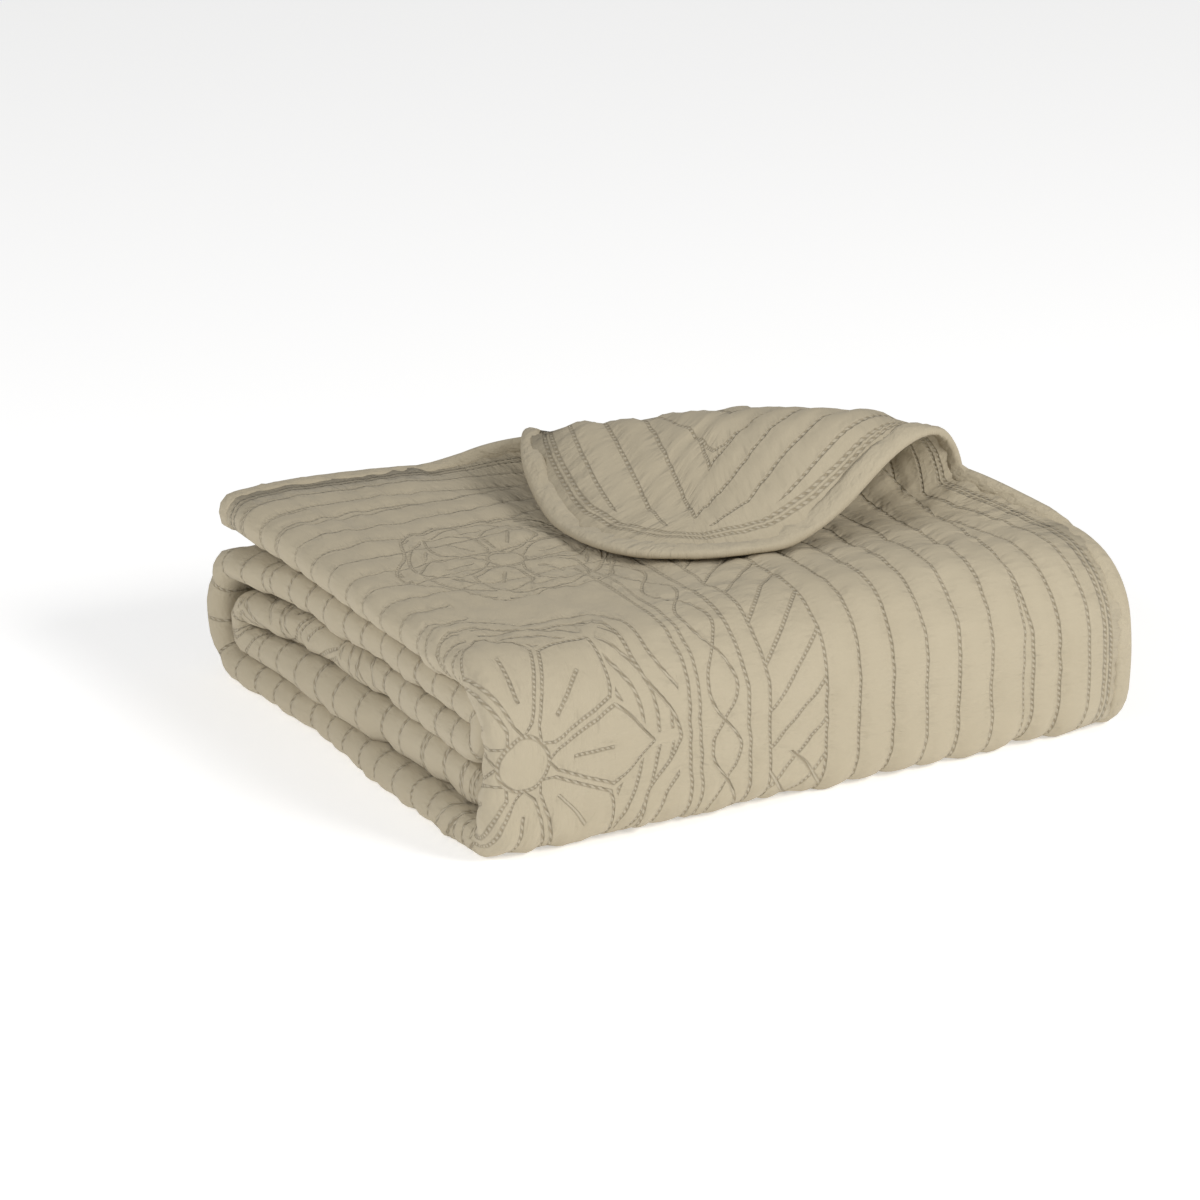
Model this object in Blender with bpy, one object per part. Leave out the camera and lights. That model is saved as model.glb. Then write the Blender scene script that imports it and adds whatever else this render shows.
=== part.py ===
"""A quilted throw, folded into quarters across and then five times along, one corner turned back."""

import math

import bmesh
import bpy
from mathutils import Vector

# Sizes of the folded throw, in metres.
FOLD_LENGTH = 0.352
SCALLOP_DEPTH = 0.036
CORNER_DEPTH = 0.058
SCALLOP_PITCH = 0.282
FIRST_NOTCH = 0.172
CORNER_RADIUS = 0.098
SLAB = 0.019
PLY = 0.0038
BINDING_WIDTH = 0.010
CLEARANCE = 0.0003

# Quilting: rows of stitching a channel apart, with the cloth puffed up between them.
CHANNEL = 0.0215
PUFF = 0.0020
ROWS_FROM_HEM = 0.151
ROWS_FROM_FOLD = 0.060
TOP_STEP = 0.0150
CURL_STEP = 0.0185

# The folded path, seen from the left end. The last column draws the left fold in or lets it bulge out.
PATH = (
    # y, z, bend radius, slab thickness, shift of the left fold
    (0.2820, 0.0975, 0.000, 0.0190, 0.000),
    (0.0095, 0.0985, 0.034, 0.0190, -0.004),
    (0.0095, 0.0095, 0.0165, 0.0190, -0.006),
    (0.2750, 0.0095, 0.000, 0.0190, 0.003),
    (0.3245, 0.0093, 0.022, 0.0178, 0.000),
    (0.3245, 0.0660, 0.024, 0.0168, 0.000),
    (0.2400, 0.0755, 0.200, 0.0180, 0.003),
    (0.1200, 0.0775, 0.200, 0.0190, 0.002),
    (0.0300, 0.0775, 0.01065, 0.0188, 0.001),
    (0.0300, 0.0560, 0.01065, 0.0188, 0.001),
    (0.2000, 0.0560, 0.200, 0.0190, 0.004),
    (0.3030, 0.0468, 0.00905, 0.0165, 0.002),
    (0.3030, 0.0283, 0.00905, 0.0165, 0.002),
    (0.2000, 0.0322, 0.200, 0.0225, 0.000),
    (0.0790, 0.0325, 0.000, 0.0225, 0.005),
)
LEFT_FADE = 0.15
INNER_REACH = 0.022

# The back right corner has sunk a little under its own weight.
SINK = 0.19
SINK_X = (0.06, 0.35)
SINK_Y = (0.04, 0.32)

# The turned-back corner: its fold line in plan, the radius of its roll and how it settles.
CURL_START = (0.103, 0.318)
CURL_END = (0.362, 0.048)
CURL_RADIUS_MID = 0.0285
CURL_RADIUS_END = 0.0105
CURL_BOW = -0.0035
CURL_SKEW = -1.0
CURL_SETTLE = 0.085
CURL_REST = 0.0092


def lerp(a, b, t):
    return a + (b - a) * t


def smooth(t):
    t = min(max(t, 0.0), 1.0)
    return t * t * (3.0 - 2.0 * t)


class Route:
    """A line of straight runs joined by round bends, read by its arc length."""

    def __init__(self, rows):
        self.pieces = []
        self.length = 0.0
        here = Vector(rows[0][:2])
        self.extras = rows[0][3:]
        for last, row, following in zip(rows, rows[1:], rows[2:] + (None,)):
            corner = Vector(row[:2])
            incoming = (corner - Vector(last[:2])).normalized()
            if following is None or row[2] == 0.0:
                self.add_run(here, corner, row[3:])
                here = corner
                continue
            outgoing = (Vector(following[:2]) - corner).normalized()
            turn = incoming.angle_signed(outgoing)
            trim = row[2] * math.tan(abs(turn) / 2)
            start = corner - incoming * trim
            self.add_run(here, start, row[3:])
            self.add_bend(start, incoming, -turn, row[2])
            here = corner + outgoing * trim

    def add_run(self, start, end, extras):
        size = (end - start).length
        heading = (end - start).normalized()
        self.pieces.append(("run", self.length, size, start, heading, 0.0, self.extras, extras))
        self.length += size
        self.extras = extras

    def add_bend(self, start, heading, turn, radius):
        size = abs(turn) * radius
        self.pieces.append(("bend", self.length, size, start, heading, turn, self.extras, self.extras))
        self.length += size

    def at(self, s):
        """The point, the outward normal, the slab thickness and the fold's shift at arc length s."""
        piece = self.pieces[0]
        for candidate in self.pieces:
            if s >= candidate[1]:
                piece = candidate
        kind, begin, size, start, heading, turn, before, after = piece
        along = s - begin
        share = min(max(along / size, 0.0), 1.0) if size > 0.0 else 0.0
        if kind == "run":
            point = start + heading * along
        else:
            radius = size / abs(turn)
            side = Vector((-heading.y, heading.x)) * math.copysign(1.0, turn)
            angle = turn * share
            centre = start + side * radius
            spun = Vector((-side.x, -side.y))
            spun = Vector((spun.x * math.cos(angle) - spun.y * math.sin(angle),
                           spun.x * math.sin(angle) + spun.y * math.cos(angle)))
            point = centre + spun * radius
            heading = Vector((heading.x * math.cos(angle) - heading.y * math.sin(angle),
                              heading.x * math.sin(angle) + heading.y * math.cos(angle)))
        extras = [lerp(a, b, smooth(share)) for a, b in zip(before, after)]
        return point, Vector((heading.y, -heading.x)), *extras

    def stations(self, run_step, bend_step, closest=0.0):
        """Arc lengths along the line, in even steps of metres in each run and of radians in each fold."""
        found = [0.0]
        groups = []
        for kind, begin, size, _, _, turn, _, _ in self.pieces:
            if size < 1e-4:
                continue
            if groups and kind == "bend" and groups[-1][0] == "bend":
                groups[-1] = ("bend", groups[-1][1], begin + size, groups[-1][3] + abs(turn))
            else:
                groups.append((kind, begin, begin + size, abs(turn)))
        for kind, begin, end, turn in groups:
            steps = max(1, round((end - begin) / run_step if kind == "run" else turn / bend_step))
            found += [lerp(begin, end, (i + 1) / steps) for i in range(steps)]
        return [s for last, s in zip([-1.0] + found, found) if s - last > closest]


# Across the throw the four plies of a slab are read the same way, as x and the offset from its middle.
LEFT_CENTRE = 0.5 * SLAB
OUTER_FOLD = 0.375
INNER_FOLD = 0.125
ACROSS = Route((
    (FOLD_LENGTH, OUTER_FOLD * SLAB, 0.0, SLAB),
    (LEFT_CENTRE - OUTER_FOLD * SLAB, OUTER_FOLD * SLAB, OUTER_FOLD * SLAB * 0.9999, SLAB),
    (LEFT_CENTRE - OUTER_FOLD * SLAB, -OUTER_FOLD * SLAB, OUTER_FOLD * SLAB * 0.9999, SLAB),
    (FOLD_LENGTH, -OUTER_FOLD * SLAB, INNER_FOLD * SLAB * 0.9999, SLAB),
    (FOLD_LENGTH, -INNER_FOLD * SLAB, INNER_FOLD * SLAB * 0.9999, SLAB),
    (LEFT_CENTRE - INNER_FOLD * SLAB, -INNER_FOLD * SLAB, INNER_FOLD * SLAB * 0.9999, SLAB),
    (LEFT_CENTRE - INNER_FOLD * SLAB, INNER_FOLD * SLAB, INNER_FOLD * SLAB * 0.9999, SLAB),
    (FOLD_LENGTH, INNER_FOLD * SLAB, 0.0, SLAB),
))
ALONG = Route(PATH)
FIRST_PLY_END = ACROSS.pieces[0][2]
TOP_PASS_END = ALONG.pieces[0][2]
FRONT_END = ALONG.pieces[3][1] + ALONG.pieces[3][2] * 0.35


def lobe(distance):
    """How far the scalloped edge bulges past its notches, this far from the corner."""
    if distance < FIRST_NOTCH:
        return CORNER_DEPTH * (1.0 - (distance / FIRST_NOTCH) ** 2)
    inside = (distance - FIRST_NOTCH) % SCALLOP_PITCH
    return SCALLOP_DEPTH * (1.0 - (2.0 * inside / SCALLOP_PITCH - 1.0) ** 2)


def edge_fade(distance):
    """The share of the scallop that reaches this far in from the edge."""
    return max(0.0, 1.0 - distance / 0.13) ** 1.5


def rounded_corner(a, b):
    """Moves a point near a square corner so that the corner becomes round."""
    p = max(0.0, (CORNER_RADIUS - a) / CORNER_RADIUS)
    q = max(0.0, (CORNER_RADIUS - b) / CORNER_RADIUS)
    if p == 0.0 or q == 0.0:
        return a, b
    pull = max(p, q) / math.hypot(p, q)
    return CORNER_RADIUS * (1.0 - p * pull), CORNER_RADIUS * (1.0 - q * pull)


def flat_place(u, v):
    """Where a point of the even grid lies on the flat throw, with its scallops and round corners."""
    near_u, near_v = min(u, ACROSS.length - u), min(v, ALONG.length - v)
    round_u, round_v = rounded_corner(near_u, near_v)
    out_u = round_u - lobe(near_v) * edge_fade(near_u)
    out_v = round_v - lobe(near_u) * edge_fade(near_v)
    return (out_u if u <= ACROSS.length / 2 else ACROSS.length - out_u,
            out_v if v <= ALONG.length / 2 else ALONG.length - out_v)


CURL_AXIS = (Vector(CURL_END) - Vector(CURL_START)).normalized()
CURL_OUT = Vector((-CURL_AXIS.y, CURL_AXIS.x))
CURL_SPAN = (Vector(CURL_END) - Vector(CURL_START)).length


def curl_terms(x, y):
    """Distance past the fold line, and the roll's radius there."""
    offset = Vector((x, y)) - Vector(CURL_START)
    along = offset.dot(CURL_AXIS) / CURL_SPAN
    along = min(max(along, 0.0), 1.0)
    bulge = max(0.0, math.sin(math.pi * (along + CURL_SKEW * along * (1.0 - along))))
    return offset.dot(CURL_OUT) - CURL_BOW * bulge, lerp(CURL_RADIUS_END, CURL_RADIUS_MID, bulge ** 0.8)


def curled(x, y, z, lift):
    """A point of the top ply, turned back over the fold line if it lies past it."""
    past, radius = curl_terms(x, y)
    foot = Vector((x, y)) - CURL_OUT * past
    if past < math.pi * radius:
        angle = past / radius
        reach = radius * math.sin(angle) - lift * math.sin(angle)
        rise = radius * (1.0 - math.cos(angle)) + lift * math.cos(angle)
    else:
        beyond = past - math.pi * radius
        rest = lerp(2.0 * radius, CURL_REST, smooth(beyond / CURL_SETTLE))
        reach = -beyond
        rise = rest - lift
    place = foot + CURL_OUT * reach
    return Vector((place.x, place.y, z + rise))


def sunk(point):
    """The point lowered where the back right corner has sunk."""
    share_x = max(0.0, (point.x - SINK_X[0]) / (SINK_X[1] - SINK_X[0]))
    share_y = max(0.0, (point.y - SINK_Y[0]) / (SINK_Y[1] - SINK_Y[0]))
    point.z *= 1.0 - SINK * min(1.3, share_x * share_x * share_y * share_y)
    return point


def folded(u, v, w):
    """The point of the folded throw for a point of the flat one, w above its middle."""
    flat_u, flat_v = flat_place(u, v)
    cross, cross_normal, _ = ACROSS.at(flat_u)
    last_stretch = max(0.0, 1.0 - (ALONG.length - flat_v) / 0.25)
    flat_v += INNER_REACH * last_stretch * (1.0 - smooth(cross.x / LEFT_FADE))
    centre, normal, thick, shift = ALONG.at(flat_v)
    share = thick / SLAB
    side = cross.x + shift * (1.0 - smooth(cross.x / LEFT_FADE))
    first_ply = flat_u <= FIRST_PLY_END
    if first_ply and flat_v < TOP_PASS_END and curl_terms(cross.x, centre.x)[0] > 0.0:
        middle = centre + normal * (cross.y * share)
        return sunk(curled(cross.x, middle.x, middle.y, w))
    offset = (cross.y + cross_normal.y * w) * share
    place = centre + normal * offset
    return sunk(Vector((side + cross_normal.x * w, place.x, place.y)))


def relief(i, j, u, v, upper):
    """How far the quilting puffs the cloth at this grid point: full between two rows, none on a row."""
    crest_u = PUFF * (i % 2)
    crest_v = PUFF * (j % 2)
    past_fold = curl_terms(FOLD_LENGTH - u, PATH[0][0] - v)[0]
    if v < TOP_PASS_END and u < FIRST_PLY_END and past_fold > 0.0:
        shows = not upper and past_fold > CHANNEL and u < ROWS_FROM_HEM and v > CHANNEL
        return crest_u if shows else 0.0
    if not upper or v > FRONT_END:
        return 0.0
    if CHANNEL / 2 < u < ROWS_FROM_HEM:
        return crest_u
    if FIRST_PLY_END - ROWS_FROM_FOLD < u < FIRST_PLY_END + 0.010 and CHANNEL < v < TOP_PASS_END:
        return crest_v
    return 0.0


def cloth_mesh(name, columns, rows, thickness, ring_only):
    """A flat grid with the given columns and rows, thickened, then folded point by point."""
    bm = bmesh.new()
    bmesh.ops.create_grid(bm, x_segments=len(columns) - 1, y_segments=len(rows) - 1, size=1.0)
    if ring_only:
        step_x, step_y = 2.0 / (len(columns) - 1), 2.0 / (len(rows) - 1)
        middles = [(face, face.calc_center_median()) for face in bm.faces]
        inner = [face for face, middle in middles
                 if abs(middle.x) < 1.0 - step_x and abs(middle.y) < 1.0 - step_y]
        bmesh.ops.delete(bm, geom=inner, context="FACES")
    bmesh.ops.solidify(bm, geom=bm.faces[:], thickness=-1.0)
    for vert in bm.verts:
        i = round((vert.co.x + 1.0) / 2.0 * (len(columns) - 1))
        j = round((vert.co.y + 1.0) / 2.0 * (len(rows) - 1))
        upper = vert.co.z > 0.5
        lift = thickness / 2
        if not ring_only:
            lift += relief(i, j, columns[i], rows[j], upper)
        vert.co = folded(columns[i], rows[j], lift if upper else -lift)
    bmesh.ops.triangulate(bm, faces=bm.faces[:])
    bmesh.ops.recalc_face_normals(bm, faces=bm.faces[:])
    mesh = bpy.data.meshes.new(name)
    bm.to_mesh(mesh)
    bm.free()
    mesh.shade_smooth()
    return mesh


def grid_lines():
    """Columns across and rows along the flat throw: close where quilting shows, wide where it is hidden."""
    half = CHANNEL / 2
    columns = [half * i for i in range(2, round(ROWS_FROM_HEM / half) + 1)]
    columns += [columns[-1] + CURL_STEP * i for i in range(1, 7)]
    columns += [FIRST_PLY_END - ROWS_FROM_FOLD / 2]
    columns += [s for s in ACROSS.stations(0.066, 0.85) if s > FIRST_PLY_END - 1e-4]
    columns[-1] = ACROSS.length - BINDING_WIDTH - CLEARANCE
    steps = round(TOP_PASS_END / TOP_STEP)
    rows = [TOP_PASS_END * i / steps for i in range(2, steps)]
    rows += [s for s in ALONG.stations(0.056, 0.6, 0.0045) if s > TOP_PASS_END - 1e-4]
    rows[-1] = ALONG.length - BINDING_WIDTH - CLEARANCE
    return columns, rows


def material(name, colour, roughness):
    made = bpy.data.materials.new(name)
    made.use_nodes = True
    shader = made.node_tree.nodes["Principled BSDF"]
    shader.inputs["Base Color"].default_value = (*colour, 1.0)
    shader.inputs["Roughness"].default_value = roughness
    shader.inputs["Metallic"].default_value = 0.0
    return made


def place(name, mesh, made, collection):
    thing = bpy.data.objects.new(name, mesh)
    thing.data.materials.append(made)
    collection.objects.link(thing)
    return thing


def centre_on_floor(things):
    """Moves the meshes so that the bottom centre of their common box is the origin."""
    points = [vert.co for thing in things for vert in thing.data.vertices]
    middle_x = (min(p.x for p in points) + max(p.x for p in points)) / 2
    middle_y = (min(p.y for p in points) + max(p.y for p in points)) / 2
    bottom = Vector((middle_x, middle_y, min(p.z for p in points)))
    for thing in things:
        for vert in thing.data.vertices:
            vert.co -= bottom


def main():
    for thing in list(bpy.data.objects):
        bpy.data.objects.remove(thing, do_unlink=True)
    collection = bpy.data.collections.new("quilted_throw")
    bpy.context.scene.collection.children.link(collection)

    columns, rows = grid_lines()
    seam = BINDING_WIDTH + CLEARANCE
    panel = place("quilted_panel",
                  cloth_mesh("quilted_panel", [seam] + columns, [seam] + rows, PLY, False),
                  material("quilted_cotton", (0.50, 0.43, 0.33), 0.9), collection)
    rim_columns = [0.0, BINDING_WIDTH] + columns[:-1] + [ACROSS.length - BINDING_WIDTH, ACROSS.length]
    rim_rows = [0.0, BINDING_WIDTH] + rows[:-1] + [ALONG.length - BINDING_WIDTH, ALONG.length]
    binding = place("edge_binding",
                    cloth_mesh("edge_binding", rim_columns, rim_rows, PLY, True),
                    material("binding_cotton", (0.47, 0.41, 0.31), 0.9), collection)
    centre_on_floor((panel, binding))


main()
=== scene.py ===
"""The folded quilted throw of the photograph, one corner of its top ply rolled back."""

import math

import bmesh
import bpy
import numpy as np
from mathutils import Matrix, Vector, noise


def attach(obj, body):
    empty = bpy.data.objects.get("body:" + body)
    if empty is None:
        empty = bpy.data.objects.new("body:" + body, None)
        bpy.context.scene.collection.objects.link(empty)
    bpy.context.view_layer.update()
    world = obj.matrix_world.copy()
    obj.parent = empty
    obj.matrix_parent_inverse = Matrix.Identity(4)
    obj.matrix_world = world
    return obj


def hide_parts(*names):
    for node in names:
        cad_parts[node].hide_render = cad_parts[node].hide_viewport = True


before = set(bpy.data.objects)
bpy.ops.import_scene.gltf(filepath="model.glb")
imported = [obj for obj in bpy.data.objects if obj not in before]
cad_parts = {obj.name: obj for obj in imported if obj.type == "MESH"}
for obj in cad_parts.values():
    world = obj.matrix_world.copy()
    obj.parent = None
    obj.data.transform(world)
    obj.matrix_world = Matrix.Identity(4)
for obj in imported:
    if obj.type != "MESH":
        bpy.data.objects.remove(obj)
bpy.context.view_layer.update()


# The quilted cloth
# One sheet of cotton face, thin filling and cotton backing, quilted by machine and washed.
# It is quartered across, then folded five times along its length. One fold places all of
# it: u is metres from the hem at the right on the flat throw, v metres from the back hem.
FOLD_LENGTH = 0.352
SLAB = 0.019
PLY = 0.0038
SCALLOP_DEPTH = 0.036
CORNER_DEPTH = 0.058
SCALLOP_PITCH = 0.282
FIRST_NOTCH = 0.172
CORNER_RADIUS = 0.098
CENTRE = Vector((0.19545, 0.16571, 0.00039))
PATH = (
    # y, z, bend radius, slab thickness, shift of the left fold
    (0.2820, 0.0975, 0.000, 0.0190, 0.000),
    (0.0095, 0.0985, 0.034, 0.0190, -0.004),
    (0.0095, 0.0095, 0.0165, 0.0190, -0.006),
    (0.2750, 0.0095, 0.000, 0.0190, 0.003),
    (0.3245, 0.0093, 0.022, 0.0178, 0.000),
    (0.3245, 0.0660, 0.024, 0.0168, 0.000),
    (0.2400, 0.0755, 0.200, 0.0180, 0.003),
    (0.1200, 0.0775, 0.200, 0.0190, 0.002),
    (0.0300, 0.0775, 0.01065, 0.0188, 0.001),
    (0.0300, 0.0560, 0.01065, 0.0188, 0.001),
    (0.2000, 0.0560, 0.200, 0.0190, 0.004),
    (0.3030, 0.0468, 0.00905, 0.0165, 0.002),
    (0.3030, 0.0283, 0.00905, 0.0165, 0.002),
    (0.2000, 0.0322, 0.200, 0.0225, 0.000),
    (0.0790, 0.0325, 0.000, 0.0225, 0.005),
)
LEFT_FADE = 0.15
INNER_REACH = 0.022
SINK = 0.19
SINK_X = (0.06, 0.35)
SINK_Y = (0.04, 0.32)
CURL_START = Vector((0.103, 0.318))
CURL_END = Vector((0.362, 0.048))
CURL_RADIUS_MID = 0.0285
CURL_RADIUS_END = 0.0105
CURL_BOW = -0.0035
CURL_SKEW = -1.0
CURL_SETTLE = 0.085
CURL_REST = 0.0092
DRIFT = 0.0016
DRIFT_SCALES = ((13.0, 1.0), (31.0, 0.4))
DRIFT_RISE = 0.03
DRIFT_SEED = 7
LAST_STRETCH = 0.25


def lerp(a, b, t):
    return a + (b - a) * t


def smooth(t):
    t = min(max(t, 0.0), 1.0)
    return t * t * (3.0 - 2.0 * t)


def turned(vector, angle):
    """A flat vector turned by an angle."""
    cos, sin = math.cos(angle), math.sin(angle)
    return Vector((vector.x * cos - vector.y * sin, vector.x * sin + vector.y * cos))


class Route:
    """A line of straight runs joined by round bends, read by its arc length."""

    def __init__(self, rows):
        self.pieces = []
        self.length = 0.0
        here = Vector(rows[0][:2])
        self.extras = rows[0][3:]
        for last, row, following in zip(rows, rows[1:], rows[2:] + (None,)):
            corner = Vector(row[:2])
            incoming = (corner - Vector(last[:2])).normalized()
            if following is None or row[2] == 0.0:
                self.add(here, incoming, (corner - here).length, 0.0, row[3:])
                here = corner
                continue
            outgoing = (Vector(following[:2]) - corner).normalized()
            turn = -incoming.angle_signed(outgoing)
            trim = row[2] * math.tan(abs(turn) / 2)
            start = corner - incoming * trim
            self.add(here, incoming, (start - here).length, 0.0, row[3:])
            self.add(start, incoming, abs(turn) * row[2], turn, row[3:])
            here = corner + outgoing * trim

    def add(self, start, heading, size, turn, extras):
        self.pieces.append((self.length, size, start, heading, turn, self.extras, extras))
        self.length += size
        self.extras = extras

    def at(self, s):
        """The point, the outward normal and the two extra values at arc length s."""
        piece = self.pieces[0]
        for candidate in self.pieces:
            if s >= candidate[0]:
                piece = candidate
        begin, size, start, heading, turn, before, after = piece
        share = min(max((s - begin) / size, 0.0), 1.0) if size > 0.0 else 0.0
        if turn == 0.0:
            point = start + heading * (s - begin)
        else:
            side = turned(heading, math.copysign(math.pi / 2, turn)) * (size / abs(turn))
            point = start + side - turned(side, turn * share)
            heading = turned(heading, turn * share)
        extras = [lerp(a, b, smooth(share)) for a, b in zip(before, after)]
        return point, Vector((heading.y, -heading.x)), *extras


OUTER = 0.375 * SLAB
INNER = 0.125 * SLAB
MIDDLE = 0.5 * SLAB
ACROSS = Route((
    (FOLD_LENGTH, OUTER, 0.0, SLAB),
    (MIDDLE - OUTER, OUTER, OUTER * 0.9999, SLAB),
    (MIDDLE - OUTER, -OUTER, OUTER * 0.9999, SLAB),
    (FOLD_LENGTH, -OUTER, INNER * 0.9999, SLAB),
    (FOLD_LENGTH, -INNER, INNER * 0.9999, SLAB),
    (MIDDLE - INNER, -INNER, INNER * 0.9999, SLAB),
    (MIDDLE - INNER, INNER, INNER * 0.9999, SLAB),
    (FOLD_LENGTH, INNER, 0.0, SLAB),
))
ALONG = Route(PATH)
WIDTH, LENGTH = ACROSS.length, ALONG.length
FIRST_PLY_END = ACROSS.pieces[0][1]
TOP_END = ALONG.pieces[0][1]
CURL_AXIS = (CURL_END - CURL_START).normalized()
CURL_OUT = Vector((-CURL_AXIS.y, CURL_AXIS.x))


def curl_terms(x, y):
    """Distance past the fold line of the turned-back corner, and the roll's radius there."""
    offset = Vector((x, y)) - CURL_START
    along = offset.dot(CURL_AXIS) / (CURL_END - CURL_START).length
    along = min(max(along, 0.0), 1.0)
    bulge = max(0.0, math.sin(math.pi * (along + CURL_SKEW * along * (1.0 - along))))
    radius = lerp(CURL_RADIUS_END, CURL_RADIUS_MID, bulge ** 0.8)
    return offset.dot(CURL_OUT) - CURL_BOW * bulge, radius


def curled(x, y, z, lift):
    """A point of the top ply, turned back over the fold line if it lies past it."""
    past, radius = curl_terms(x, y)
    foot = Vector((x, y)) - CURL_OUT * past
    if past < math.pi * radius:
        angle = past / radius
        reach = (radius - lift) * math.sin(angle)
        rise = radius * (1.0 - math.cos(angle)) + lift * math.cos(angle)
    else:
        beyond = past - math.pi * radius
        reach = -beyond
        rise = lerp(2.0 * radius, CURL_REST, smooth(beyond / CURL_SETTLE)) - lift
    place = foot + CURL_OUT * reach
    return Vector((place.x, place.y, z + rise))


# Without a seed, noise_vector takes one from the clock and the drift differs at each run.
noise.seed_set(DRIFT_SEED)


def settled(point):
    """The point as the throw's own weight and softness leave it, with its place in the frame."""
    share_x = max(0.0, (point.x - SINK_X[0]) / (SINK_X[1] - SINK_X[0]))
    share_y = max(0.0, (point.y - SINK_Y[0]) / (SINK_Y[1] - SINK_Y[0]))
    point.z *= 1.0 - SINK * min(1.3, share_x * share_x * share_y * share_y)
    drift = Vector()
    for scale, share in DRIFT_SCALES:
        drift += noise.noise_vector(point * scale) * DRIFT * share
    drift.z *= min(1.0, point.z / DRIFT_RISE)
    place = point + drift - CENTRE
    place.z = max(place.z, 0.0)
    return place


def folded(flat_u, flat_v, w):
    """The place of a point of the flat cloth once it is folded, w above its middle."""
    cross, cross_normal, _ = ACROSS.at(flat_u)
    last_stretch = max(0.0, 1.0 - (LENGTH - flat_v) / LAST_STRETCH)
    left = 1.0 - smooth(cross.x / LEFT_FADE)
    flat_v += INNER_REACH * last_stretch * left
    centre, normal, thick, shift = ALONG.at(flat_v)
    share = thick / SLAB
    if flat_u <= FIRST_PLY_END and flat_v < TOP_END and curl_terms(cross.x, centre.x)[0] > 0.0:
        middle = centre + normal * (cross.y * share)
        return settled(curled(cross.x, middle.x, middle.y, w))
    place = centre + normal * ((cross.y + cross_normal.y * w) * share)
    return settled(Vector((cross.x + shift * left + cross_normal.x * w, place.x, place.y)))


# Its rows of machine stitching follow the straight line of the hems and the scallops, and
# meet on a mitre at each corner. Inside them run a hatched band, a chain of leaves and a
# large flower. The same lines raise the puffs and draw the stitches, so they are written
# once, for numbers and for shader sockets.
HEM_WIDTH = 0.0105
SEAM_LINES = (0.0130, 0.0162)
ROW_PITCH = 0.0205
FIRST_ROW = 0.0330
BORDER = FIRST_ROW + 6 * ROW_PITCH
ROW_MARGIN = 0.0004
CLEAR_OF_SEAM = SEAM_LINES[-1] + 0.004
ECHO_ROW = 0.0275
ECHO_PITCH = 0.0180
ECHO_REACH = 0.004
HATCH_END = 0.191
HATCH_PITCH = 0.021
HATCH_SLOPE = 0.9
HATCH_CLOSENESS = 0.75
CROSS_HATCH_START = 0.322
BAND_LINES = (HATCH_END, 0.2035, 0.2325, 0.2385)
CHAIN = 0.218
CHAIN_HALF_WIDTH = 0.0085
LEAF = 0.033
BANDS_START = BORDER + 0.004
BANDS_END = 0.245
LEFT_ROWS = 0.322
FADE_REACH = 0.15
LARGE_FLOWER = ((0.334, 0.300), 0.094, 8)
SMALL_FLOWER = ((0.262, 0.128), 0.066, 6)
FLOWER_ECHO = 0.011
FLOWER_CLEAR = 0.013
OUTLINE_MARGIN = 0.001
BAR_PITCH = 0.0085
BAR_MARGIN = 0.0035
PETAL_MARGIN = 0.0022


class Wire:
    """A number on a shader socket. Arithmetic on it adds Math nodes to its tree."""

    def __init__(self, tree, socket):
        self.tree, self.socket = tree, socket

    def node(self, kind, settings, inputs):
        """Adds a node with its settings made first, then its sockets' values or links."""
        made = self.tree.nodes.new(kind)
        for name, value in settings.items():
            setattr(made, name, value)
        for name, value in inputs.items():
            socket = made.inputs[name]
            if isinstance(value, Wire):
                self.tree.links.new(value.socket, socket)
            else:
                socket.default_value = value
        return made

    def out(self, made, name=0):
        return Wire(self.tree, made.outputs[name])

    def maths(self, kind, *values):
        made = self.node("ShaderNodeMath", {"operation": kind}, dict(enumerate(values)))
        return self.out(made)

    def __add__(self, other):
        return self.maths("ADD", self, other)

    def __sub__(self, other):
        return self.maths("SUBTRACT", self, other)

    def __rsub__(self, other):
        return self.maths("SUBTRACT", other, self)

    def __mul__(self, other):
        return self.maths("MULTIPLY", self, other)

    def __truediv__(self, other):
        return self.maths("DIVIDE", self, other)

    __radd__ = __add__
    __rmul__ = __mul__


def pingpong(value, half):
    """A triangle wave that is nought at nought and half at half."""
    turns = (value - half) / (2.0 * half)
    return np.abs((turns - np.floor(turns)) * 2.0 * half - half)


ON_NUMBERS = {
    "MINIMUM": np.minimum,
    "MAXIMUM": np.maximum,
    "ABSOLUTE": np.abs,
    "SINE": np.sin,
    "COSINE": np.cos,
    "ARCTAN2": np.arctan2,
    "SQRT": np.sqrt,
    "PINGPONG": pingpong,
    "FLOORED_MODULO": np.mod,
    "GREATER_THAN": np.greater,
}


def maths(kind, *values):
    """The same operation on numbers or on sockets, whichever the values are."""
    for value in values:
        if isinstance(value, Wire):
            return value.maths(kind, *values)
    return ON_NUMBERS[kind](*values)


def lobe(distance):
    """How far the scalloped hem bulges past its notches, this far from the corner."""
    share = distance / FIRST_NOTCH
    corner = maths("MAXIMUM", 1.0 - share * share, 0.0) * CORNER_DEPTH
    past = distance - FIRST_NOTCH
    inside = maths("FLOORED_MODULO", past, SCALLOP_PITCH) * (2.0 / SCALLOP_PITCH) - 1.0
    side = (1.0 - inside * inside) * SCALLOP_DEPTH
    return corner + side * maths("GREATER_THAN", distance, FIRST_NOTCH)


def edge_fade(distance):
    """The share of the scallop that reaches this far in from the edge."""
    share = maths("MINIMUM", maths("MAXIMUM", distance / FADE_REACH, 0.0), 1.0)
    return 1.0 - share * share * (3.0 - 2.0 * share)


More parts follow.
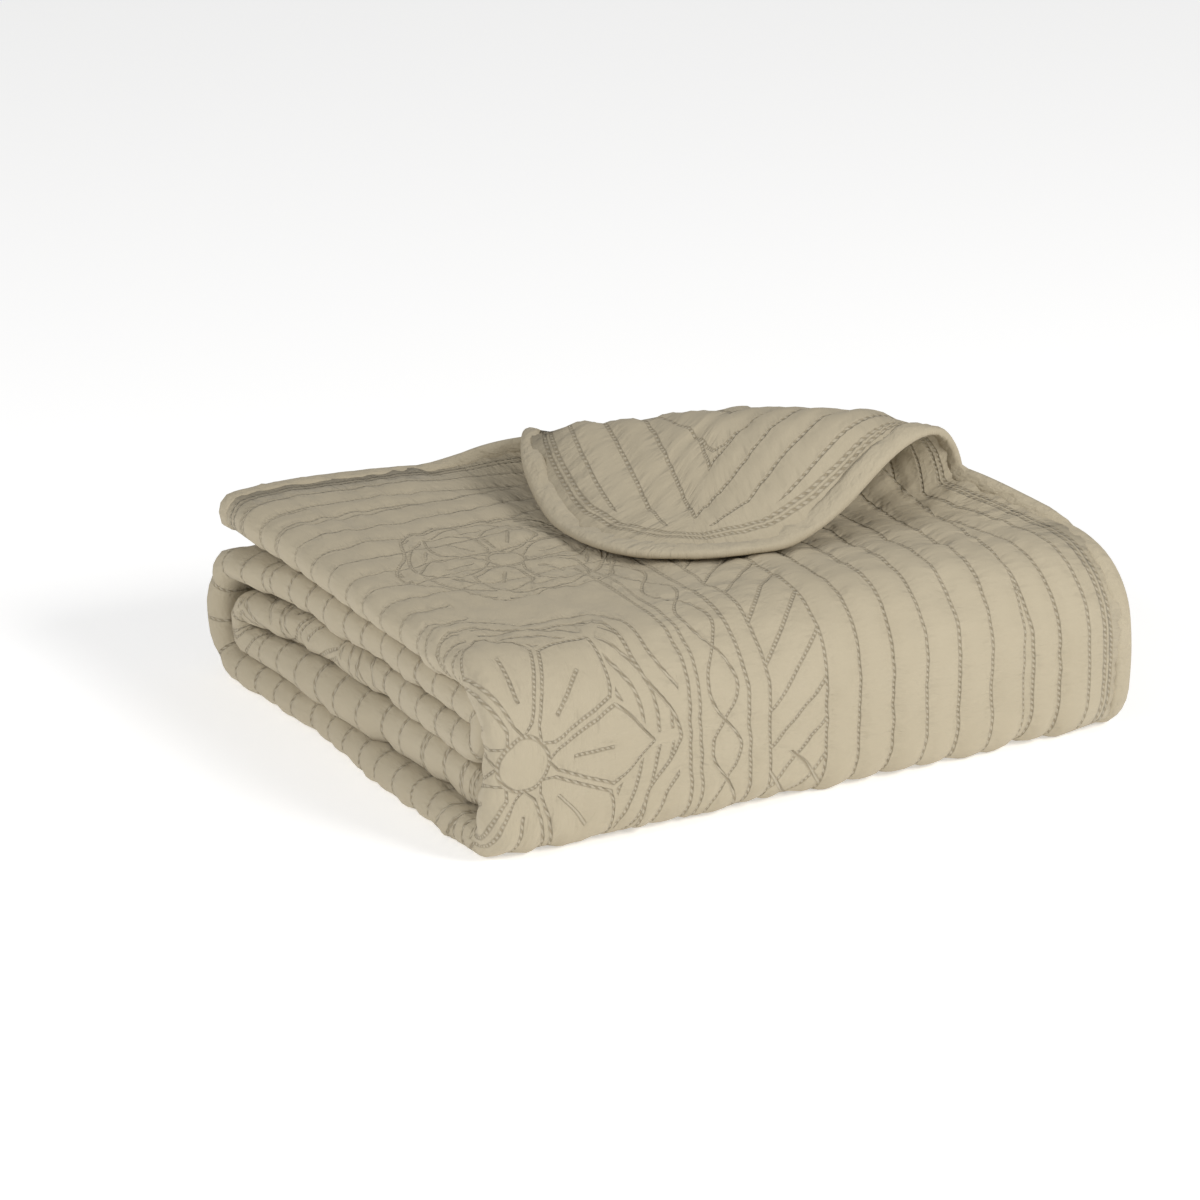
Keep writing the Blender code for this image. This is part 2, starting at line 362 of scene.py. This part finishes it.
def flat_place(near_u, near_v):
    """The flat place of a point of the even grid, and how far it lies in from each hem."""
    p = maths("MAXIMUM", 1.0 - near_u / CORNER_RADIUS, 0.0)
    q = maths("MAXIMUM", 1.0 - near_v / CORNER_RADIUS, 0.0)
    loss = 1.0 - maths("MAXIMUM", p, q) / maths("SQRT", p * p + q * q + 1e-9)
    round_u = near_u + p * loss * CORNER_RADIUS
    round_v = near_v + q * loss * CORNER_RADIUS
    bulge_u, bulge_v = lobe(near_v), lobe(near_u)
    flat_u = round_u - bulge_u * edge_fade(round_u)
    flat_v = round_v - bulge_v * edge_fade(round_v)
    return flat_u, flat_v, flat_u + bulge_u, flat_v + bulge_v


def only(gap, *overs):
    """A distance to a line that counts only while none of the overs is above nought."""
    for over in overs:
        gap = gap + maths("MAXIMUM", over, 0.0) * 6.0
    return gap


def nearest(*gaps):
    """The least of several distances."""
    least = gaps[0]
    for gap in gaps[1:]:
        least = maths("MINIMUM", least, gap)
    return least


def rows_at(value, pitch):
    """The distance to the nearest of a set of rows a pitch apart."""
    return maths("PINGPONG", value, pitch / 2)


def flower(u, v, centre, size, petals):
    """The distance to a flower's stitching: heart, petals with a vein, bars and an outline."""
    side, up = u - centre[0], v - centre[1]
    reach = maths("SQRT", side * side + up * up + 1e-8)
    angle = maths("ARCTAN2", up, side)
    fold = maths("PINGPONG", angle, math.pi / petals)
    across = reach * maths("SINE", fold)
    along = reach * maths("COSINE", fold)
    heart, tip, edge = 0.15 * size, 0.78 * size, 0.88 * size
    share = maths("MINIMUM", maths("MAXIMUM", (along - heart) / (tip - heart), 0.0), 1.0)
    full = maths("SINE", share * math.pi) * (0.23 * size)
    half_width = maths("MINIMUM", full, along * math.tan(math.pi / petals) - PETAL_MARGIN)
    outline = reach - edge - maths("COSINE", angle * petals) * (0.07 * size)
    petal = only(maths("ABSOLUTE", across - half_width), along - tip, heart - along)
    vein = only(across, along - 0.55 * size, 0.30 * size - along)
    bars = only(rows_at(reach, BAR_PITCH), half_width + BAR_MARGIN - across, outline + OUTLINE_MARGIN,
                0.50 * size - reach)
    rings = nearest(maths("ABSOLUTE", reach - heart), maths("ABSOLUTE", outline))
    return nearest(rings, petal, vein, bars), outline


def stitching(near_u, near_v):
    """The distance to the nearest stitching at a place of the grid, and how far in that place is."""
    u, v, in_u, in_v = flat_place(near_u, near_v)
    edge = maths("MINIMUM", near_u, near_v)
    straight = maths("MINIMUM", u, v)
    inward = maths("MINIMUM", in_u, in_v)
    seam = nearest(*[maths("ABSOLUTE", edge - at) for at in SEAM_LINES])
    rows = only(rows_at(straight - FIRST_ROW, ROW_PITCH), FIRST_ROW - ROW_MARGIN - straight,
                straight - BORDER - ROW_MARGIN, CLEAR_OF_SEAM - edge)
    echoes = only(rows_at(inward - ECHO_ROW, ECHO_PITCH), straight - FIRST_ROW,
                  ECHO_ROW - ECHO_REACH - inward, CLEAR_OF_SEAM - edge)
    large, outline = flower(u, v, *LARGE_FLOWER)
    small, small_outline = flower(u, v, *SMALL_FLOWER)
    left_rows = only(rows_at(v - FIRST_ROW, ROW_PITCH), LEFT_ROWS - u, FLOWER_CLEAR - outline)
    band = (BORDER - u, u - HATCH_END)
    hatch = only(rows_at(v - u * HATCH_SLOPE, HATCH_PITCH) * HATCH_CLOSENESS, *band, BANDS_START - v)
    cross = only(rows_at(v + u * HATCH_SLOPE, HATCH_PITCH) * HATCH_CLOSENESS, *band,
                 CROSS_HATCH_START - v)
    lines = nearest(*[maths("ABSOLUTE", u - at) for at in BAND_LINES])
    wave = maths("ABSOLUTE", maths("SINE", v * (math.pi / LEAF))) * CHAIN_HALF_WIDTH
    chain = maths("ABSOLUTE", maths("ABSOLUTE", u - CHAIN) - wave)
    bands = only(nearest(lines, chain), BANDS_START - v, u - BANDS_END)
    echo = only(maths("ABSOLUTE", outline - FLOWER_ECHO), BANDS_END - u)
    flowers = nearest(only(large, outline - OUTLINE_MARGIN), only(small, small_outline - OUTLINE_MARGIN))
    return nearest(seam, rows, echoes, left_rows, hatch, cross, bands, echo, flowers), straight


# Its mesh is fine where the quilting shows and coarse where the plies are hidden. It
# puffs between its rows of stitching and crinkles along them.
PUFF = 0.0030
PUFF_REACH = 0.0095
PUFF_EDGE = 0.006
BANDS_PLUMP = 0.6
TOP_PLUMP = 0.45
TOP_ZONE = (0.18, 0.25)
PUCKER = 0.0016
PUCKER_LENGTHS = (0.020, 0.0085)
HEAVE_LENGTH = 0.028
FLAP_START = 0.006
FLAP_FADE = 0.02
FINE = ROW_PITCH / 6
EDGE_IN = 0.0065
LAST_CELL = 0.02
LEFT_END = 0.3655
LOWER_FRONT_END = 0.410
SHOWN_END = 0.375


def steps(start, end, step):
    """Even places from start up to but not at end, about a step apart."""
    count = max(1, round((end - start) / step))
    return [lerp(start, end, i / count) for i in range(count)]


def crinkle(u, v, long_u, long_v, seed):
    """Smooth noise between -1 and 1, stretched to these lengths in metres."""
    return noise.noise(Vector((u / long_u, v / long_v, seed)))


def cloth(name, columns, rows, lift_above, lift_below, keep=None):
    """A flat grid thickened and folded point by point, with the grid's own places as its UV map."""
    bm = bmesh.new()
    bmesh.ops.create_grid(bm, x_segments=len(columns) - 1, y_segments=len(rows) - 1, size=1.0)

    def index(place):
        return (place.x + 1.0) / 2.0 * (len(columns) - 1), (place.y + 1.0) / 2.0 * (len(rows) - 1)

    if keep:
        centres = {face: index(face.calc_center_median()) for face in bm.faces}
        unused = [face for face, (i, j) in centres.items() if not keep(int(i), int(j))]
        bmesh.ops.delete(bm, geom=unused, context="FACES")
    bmesh.ops.solidify(bm, geom=bm.faces[:], thickness=-1.0)
    grid_u, grid_v = np.meshgrid(np.array(columns), np.array(rows), indexing="ij")
    flat_u, flat_v, _, _ = flat_place(np.minimum(grid_u, WIDTH - grid_u),
                                      np.minimum(grid_v, LENGTH - grid_v))
    flat_u = np.where(grid_u < WIDTH / 2, flat_u, WIDTH - flat_u)
    flat_v = np.where(grid_v < LENGTH / 2, flat_v, LENGTH - flat_v)
    spots = {}
    for vert in bm.verts:
        i, j = (round(value) for value in index(vert.co))
        spots[vert] = (columns[i], rows[j])
        lift = lift_above[i][j] if vert.co.z > 0.5 else -lift_below[i][j]
        vert.co = folded(flat_u[i][j], flat_v[i][j], lift)
    layer = bm.loops.layers.uv.new("flat")
    for face in bm.faces:
        for loop in face.loops:
            loop[layer].uv = spots[loop.vert]
    bmesh.ops.recalc_face_normals(bm, faces=bm.faces[:])
    mesh = bpy.data.meshes.new(name)
    bm.to_mesh(mesh)
    bm.free()
    mesh.shade_smooth()
    made = bpy.data.objects.new(name, mesh)
    bpy.context.scene.collection.objects.link(made)
    return made


def grid_lines(first_fine_end, parts, total):
    """Lines from hem to hem: fine to the first end, then to each part's end by that part's step."""
    lines = [EDGE_IN] + steps(FIRST_ROW - FINE, first_fine_end, FINE)
    start = first_fine_end
    for end, step in parts:
        lines += steps(start, end, step)
        start = end
    return lines + [total - LAST_CELL, total - EDGE_IN]


columns = grid_lines(LEFT_END, ((0.690, 0.045), (0.730, 0.0045), (1.038, 0.06), (1.076, 0.0045),
                                (WIDTH - LAST_CELL, 0.05)), WIDTH)
rows = grid_lines(LOWER_FRONT_END, ((0.605, 0.0060), (0.720, 0.0060), (0.978, 0.0075),
                                    (1.014, 0.003), (1.16, 0.0075), (1.30, 0.0045),
                                    (LENGTH - LAST_CELL, 0.0095)), LENGTH)
grid_u, grid_v = np.meshgrid(np.array(columns), np.array(rows), indexing="ij")
near_u, near_v = np.minimum(grid_u, WIDTH - grid_u), np.minimum(grid_v, LENGTH - grid_v)
gap, from_hem = stitching(near_u, near_v)
closeness = 1.0 - np.minimum(gap / PUFF_REACH, 1.0)
plump = np.where(from_hem > BORDER + 0.002, BANDS_PLUMP, 1.0)
plump = np.where((grid_u > TOP_ZONE[0]) & (grid_v < TOP_ZONE[1]), TOP_PLUMP, plump)
puff = PUFF * plump * (1.0 - closeness ** 2) ** 0.7
puff *= np.clip((np.minimum(near_u, near_v) - HEM_WIDTH) / PUFF_EDGE, 0.12, 1.0)
above = PLY / 2 + puff
below = np.full_like(puff, PLY / 2)
for i, u in enumerate(columns):
    for j, v in enumerate(rows):
        if u > SHOWN_END:
            above[i][j] = PLY / 2
            continue
        sideways = smooth((v - u + 0.01) / 0.02) if u < LEFT_ROWS - 0.03 else 0.0
        across_rows = crinkle(u, v, *PUCKER_LENGTHS, 1.0)
        down_rows = crinkle(u, v, *reversed(PUCKER_LENGTHS), 2.0)
        pucker = lerp(down_rows, across_rows, sideways) * PUCKER
        pucker += crinkle(u, v, HEAVE_LENGTH, HEAVE_LENGTH, 3.0) * PUCKER
        above[i][j] += pucker
        past = curl_terms(FOLD_LENGTH - u, PATH[0][0] - v)[0]
        if v < TOP_END and past > FLAP_START:
            below[i][j] += (puff[i][j] + pucker) * smooth((past - FLAP_START) / FLAP_FADE)
throw = cloth("quilted_cloth", columns, rows, above, below)


class Cotton:
    """The washed cotton's material, on the cloth's own flat places, with what both pieces share."""

    def __init__(self, name, sheen):
        self.material = bpy.data.materials.new(name)
        self.material.use_nodes = True
        self.tree = self.material.node_tree
        self.shader = self.tree.nodes["Principled BSDF"]
        settings = {"Metallic": 0.0, "Roughness": 0.86, "Specular IOR Level": 0.18,
                    "Sheen Weight": sheen, "Sheen Roughness": 0.6, "Sheen Tint": (1.0, 0.97, 0.9, 1.0)}
        for socket, value in settings.items():
            self.shader.inputs[socket].default_value = value
        start = Wire(self.tree, None)
        flat = start.out(start.node("ShaderNodeUVMap", {"uv_map": "flat"}, {}))
        parts = start.node("ShaderNodeSeparateXYZ", {}, {"Vector": flat})
        self.start, self.flat = start, flat
        self.u, self.v = start.out(parts, "X"), start.out(parts, "Y")

    def noise(self, scale, detail, stretch=(1.0, 1.0)):
        """Noise between -1 and 1 over the flat cloth, with this many features a metre."""
        scaled = self.start.node("ShaderNodeMapping", {}, {
            "Vector": self.flat, "Scale": (scale * stretch[0], scale * stretch[1], 1.0)})
        made = self.start.node("ShaderNodeTexNoise", {"noise_dimensions": "2D"}, {
            "Vector": self.start.out(scaled), "Scale": 1.0, "Detail": detail, "Roughness": 0.55})
        return self.start.out(made, "Fac") * 2.0 - 1.0

    def step(self, value, start, end):
        """A smooth step from nought to one as the value goes from start to end."""
        made = self.start.node("ShaderNodeMapRange", {"interpolation_type": "SMOOTHSTEP"}, {
            "Value": value, "From Min": start, "From Max": end, "To Min": 0.0, "To Max": 1.0})
        return self.start.out(made)

    def blend(self, factor, colour, other):
        """A mix of two colours, each a link or three numbers."""
        made = self.start.node("ShaderNodeMix", {"data_type": "RGBA"}, {"Factor": factor})
        for socket, value in ((made.inputs[6], colour), (made.inputs[7], other)):
            if isinstance(value, Wire):
                self.tree.links.new(value.socket, socket)
            else:
                socket.default_value = (*value, 1.0)
        return self.start.out(made, 2)

    def finish(self, colour, height):
        """Links the colour and the relief, a height in metres, to the shader."""
        self.tree.links.new(colour.socket, self.shader.inputs["Base Color"])
        bump = self.start.node("ShaderNodeBump", {}, {
            "Strength": 1.0, "Distance": 1.0, "Height": height})
        self.tree.links.new(bump.outputs["Normal"], self.shader.inputs["Normal"])
        return self.material


LIT = (0.470, 0.410, 0.300)
WORN = (0.415, 0.357, 0.252)
# Painted shade for the stitched grooves: the cloth is darkened towards this deep brown along every line
# of stitching.
GROOVE_PAINTED_SHADE = (0.215, 0.165, 0.098)
# The stitch dashes' thread colour, lightened further by a painted highlight on the raised thread.
THREAD_AND_HIGHLIGHT = (0.560, 0.510, 0.400)
STITCH = 0.0030
THREAD_WIDTH = 0.0007
cotton = Cotton("quilted_cotton", 0.08)
near = (maths("MINIMUM", cotton.u, WIDTH - cotton.u), maths("MINIMUM", cotton.v, LENGTH - cotton.v))
gap, _ = stitching(*near)
line = 1.0 - cotton.step(gap, 0.0002, 0.0013)
core = 1.0 - cotton.step(gap, 0.0002, 0.0009)
stitch = core * cotton.step(maths("SINE", (near[0] + near[1]) * (math.tau / STITCH)), -0.5, 0.1)
mottle = cotton.noise(38.0, 3.0) * 0.5 + cotton.noise(9.0, 2.0) * 0.5
worn_smooth = cotton.step(cotton.u, 0.17, 0.20) * (1.0 - cotton.step(cotton.v, 0.20, 0.25))
shown = 1.0 - worn_smooth * 0.65
cloth_colour = cotton.blend(mottle * 0.4 + 0.3, LIT, WORN)
# Painted shade: the stitched grooves are darkened towards a deep brown, a little less in the flatter
# worn patch on the top.
cloth_colour = cotton.blend(line * shown * 0.50, cloth_colour, GROOVE_PAINTED_SHADE)
# The stitch dashes are lightened towards the thread's colour, partly the thread itself and partly a
# painted highlight, a little less in the flatter worn patch.
cloth_colour = cotton.blend(stitch * shown * 0.50, cloth_colour, THREAD_AND_HIGHLIGHT)
right_rows = cotton.step(cotton.v - cotton.u, -0.01, 0.01) * (1.0 - cotton.step(cotton.u, 0.28, 0.32))
along_u = cotton.noise(125.0, 3.0, (0.40, 1.0))
along_v = cotton.noise(125.0, 3.0, (1.0, 0.40))
puckers = along_u * right_rows + along_v * (1.0 - right_rows) + cotton.noise(90.0, 2.0) * 0.6
pucker_share = 1.25 - cotton.step(gap, 0.001, 0.009) * 0.85
threads = [maths("SINE", place * (math.tau / THREAD_WIDTH)) for place in (cotton.u, cotton.v)]
weave = threads[0] * threads[1] * 0.00002
height = puckers * pucker_share * 0.0011 + weave - line * 0.0009 + stitch * 0.0004
throw.data.materials.append(cotton.finish(cloth_colour, height))

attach(throw, "root")
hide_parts("quilted_panel")


# The edge binding
# A strip of the same cotton folded over the raw edge and stitched down all round,
# ruched a little where the scallops curve.
BIND_LINES = (0.0, 0.0012, 0.0035, 0.0060, 0.0085, HEM_WIDTH)
BIND_LIFT = (0.0012, 0.0024, 0.0031, 0.0032, 0.0029, 0.0017)
RUCHE = 0.0018
RUCHE_LENGTH = 0.0070
RUCHE_WIDTH = 0.016


def ring_lines(fine_end, coarse_step, total):
    """The lines of the strip's grid one way, with the strip's own width at each hem."""
    fine = steps(HEM_WIDTH + 0.004, fine_end, 0.0040)
    coarse = steps(fine_end, total - LAST_CELL, coarse_step)
    return list(BIND_LINES) + fine + coarse + [total - distance for distance in reversed(BIND_LINES)]


ring_columns = ring_lines(LEFT_END, 0.012, WIDTH)
ring_rows = ring_lines(0.420, 0.008, LENGTH)
span = len(BIND_LINES) - 1


def in_ring(i, j):
    """Whether a cell of the grid belongs to the strip."""
    return min(i, len(ring_columns) - 2 - i) < span or min(j, len(ring_rows) - 2 - j) < span


ring_lift = np.zeros((len(ring_columns), len(ring_rows)))
for i, u in enumerate(ring_columns):
    for j, v in enumerate(ring_rows):
        distance = min(u, WIDTH - u, v, LENGTH - v)
        along = v if min(u, WIDTH - u) < min(v, LENGTH - v) else u
        ruche = crinkle(along, distance, RUCHE_LENGTH, RUCHE_WIDTH, 7.0) * RUCHE
        crown = np.interp(distance, BIND_LINES, BIND_LIFT)
        ring_lift[i][j] = crown + ruche * smooth(distance / 0.004)
binding = cloth("edge_binding_strip", ring_columns, ring_rows, ring_lift, ring_lift, in_ring)

strip = Cotton("binding_cotton", 0.10)
mottle = strip.noise(45.0, 3.0)
strip_colour = strip.blend(mottle * 0.4 + 0.3, LIT, WORN)
ruching = strip.noise(170.0, 3.0) * 0.0009
binding.data.materials.append(strip.finish(strip_colour, ruching))
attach(binding, "root")
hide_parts("edge_binding")


# The floor, the light and the camera
# A plain white sweep, a broad light in front and to the right of the throw, another at
# its left, and a long lens that looks at it from the left and a little above.
bm = bmesh.new()
bmesh.ops.create_grid(bm, x_segments=1, y_segments=1, size=6.0)
floor_mesh = bpy.data.meshes.new("floor")
bm.to_mesh(floor_mesh)
bm.free()
floor = bpy.data.objects.new("floor", floor_mesh)
bpy.context.scene.collection.objects.link(floor)
paper = bpy.data.materials.new("white_paper")
paper.use_nodes = True
for socket, value in (("Base Color", (0.93, 0.93, 0.93, 1.0)), ("Roughness", 0.9),
                      ("Emission Color", (1.0, 1.0, 1.0, 1.0)), ("Emission Strength", 0.38)):
    paper.node_tree.nodes["Principled BSDF"].inputs[socket].default_value = value
floor.data.materials.append(paper)

world = bpy.data.worlds.new("studio")
world.use_nodes = True
world.node_tree.nodes["Background"].inputs["Color"].default_value = (1.0, 1.0, 1.0, 1.0)
world.node_tree.nodes["Background"].inputs["Strength"].default_value = 0.34
bpy.context.scene.world = world


def softbox(name, place, size, watts, colour):
    """A square light that faces the throw."""
    light = bpy.data.lights.new(name, "AREA")
    light.shape = "SQUARE"
    light.size = size
    light.energy = watts
    light.color = colour
    lamp = bpy.data.objects.new(name, light)
    lamp.location = place
    lamp.rotation_euler = (Vector((0.0, 0.0, 0.05)) - lamp.location).to_track_quat("-Z", "Y").to_euler()
    bpy.context.scene.collection.objects.link(lamp)


softbox("key", Vector((0.75, -1.75, 1.35)), 0.8, 30.0, (1.0, 0.99, 0.97))
softbox("side", Vector((-2.0, -0.3, 1.3)), 1.0, 19.0, (1.0, 1.0, 1.0))

LENS = 250.0
SENSOR = 36.0
METRES_A_PIXEL = 0.00054
PICTURE_SIDE = 1200
LOOKED_AT = Vector((-0.0418, 0.0, 0.0657))
camera = bpy.data.cameras.new("camera")
camera.lens = LENS
camera.sensor_width = SENSOR
camera.clip_start, camera.clip_end = 0.1, 50.0
viewer = bpy.data.objects.new("camera", camera)
bpy.context.scene.collection.objects.link(viewer)
azimuth, elevation = math.radians(-30.0), math.radians(21.2)
back = Vector((math.sin(azimuth) * math.cos(elevation), -math.cos(azimuth) * math.cos(elevation),
               math.sin(elevation)))
viewer.location = LOOKED_AT + back * (PICTURE_SIDE * METRES_A_PIXEL * LENS / SENSOR)
viewer.rotation_euler = (-back).to_track_quat("-Z", "Y").to_euler()
bpy.context.scene.camera = viewer
bpy.context.scene.view_settings.view_transform = "Standard"
